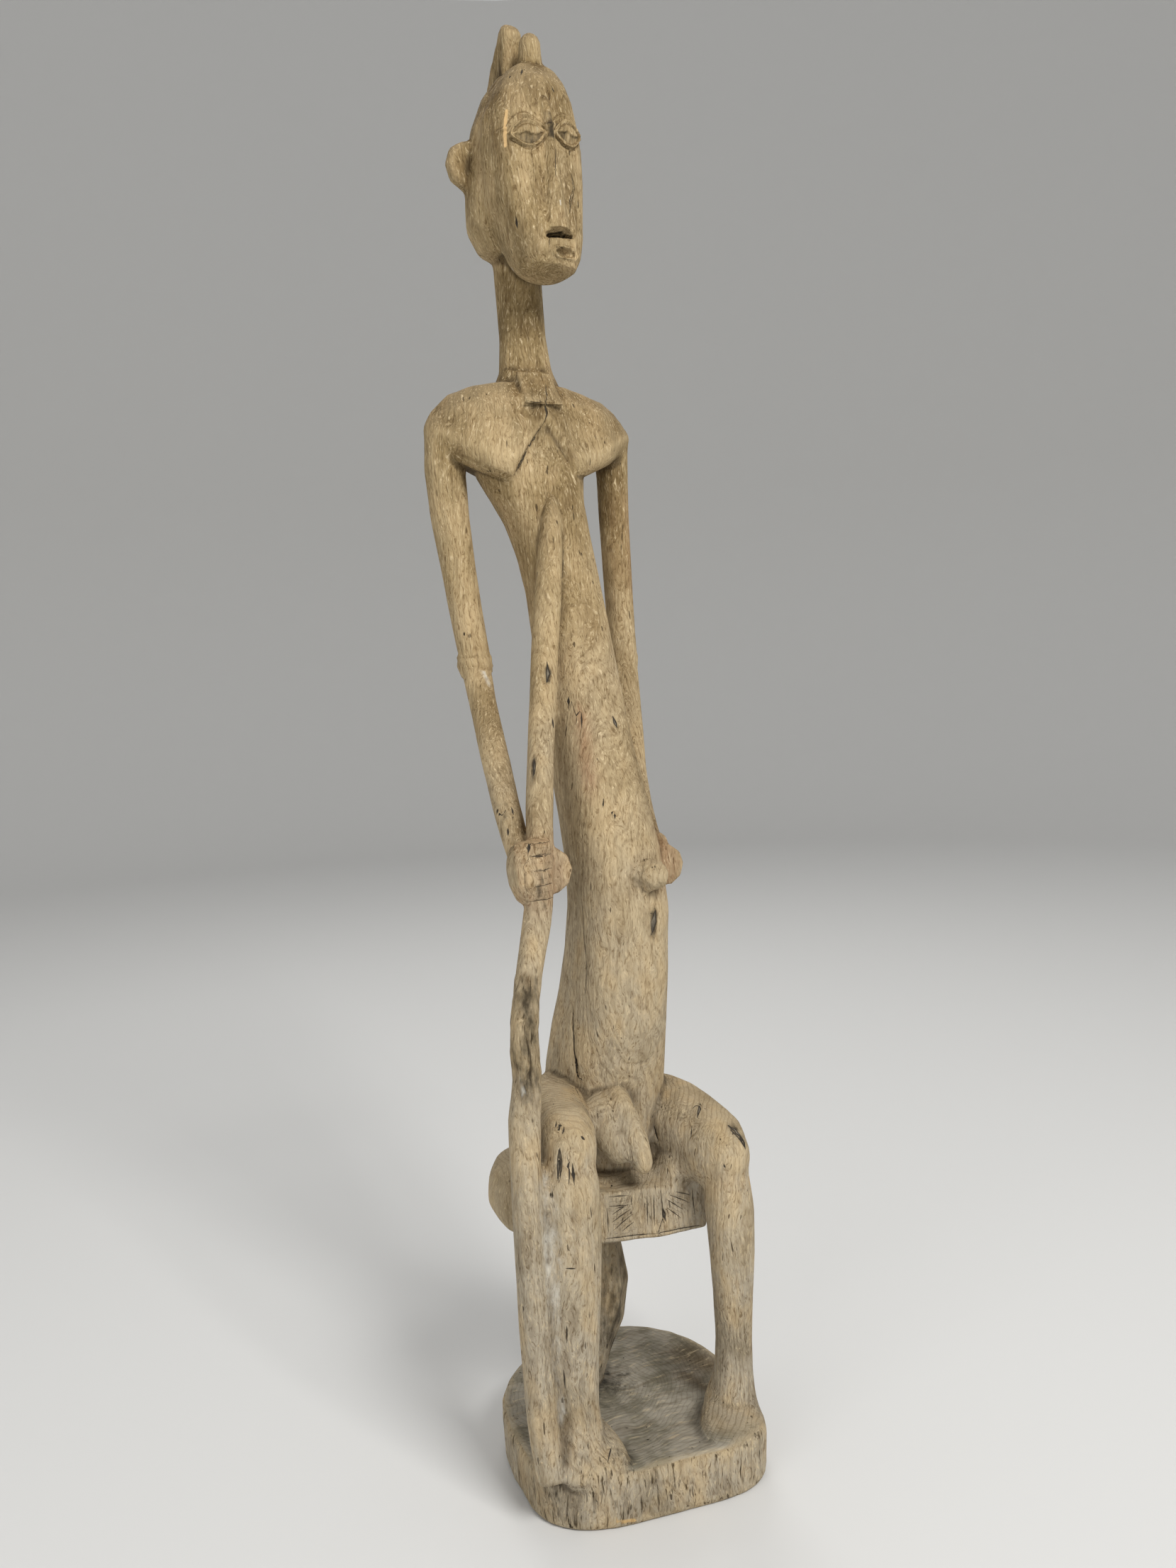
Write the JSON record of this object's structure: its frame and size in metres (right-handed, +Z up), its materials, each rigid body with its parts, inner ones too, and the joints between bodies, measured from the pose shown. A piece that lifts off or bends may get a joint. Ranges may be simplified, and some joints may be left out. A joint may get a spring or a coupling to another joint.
{
  "type": "seated wooden hunter figure",
  "caption": "Tall seated male figure with a staff, carved in one piece with its stool and round base; long mask-like head, crest, weathered grey-brown wood.",
  "frame": {"origin": "centre of the base's underside, on the floor; the figure stands on Z = 0", "axes": "+Z up, the figure faces -Y, its own left side is +X"},
  "size_m": [0.2478, 0.2483, 1.38],
  "materials": {
    "weathered_wood": "dry weathered hardwood, tan to grey, unpolished"
  },
  "bodies": {
    "root": {"figure": "weathered_wood"}
  },
  "joints": []
}
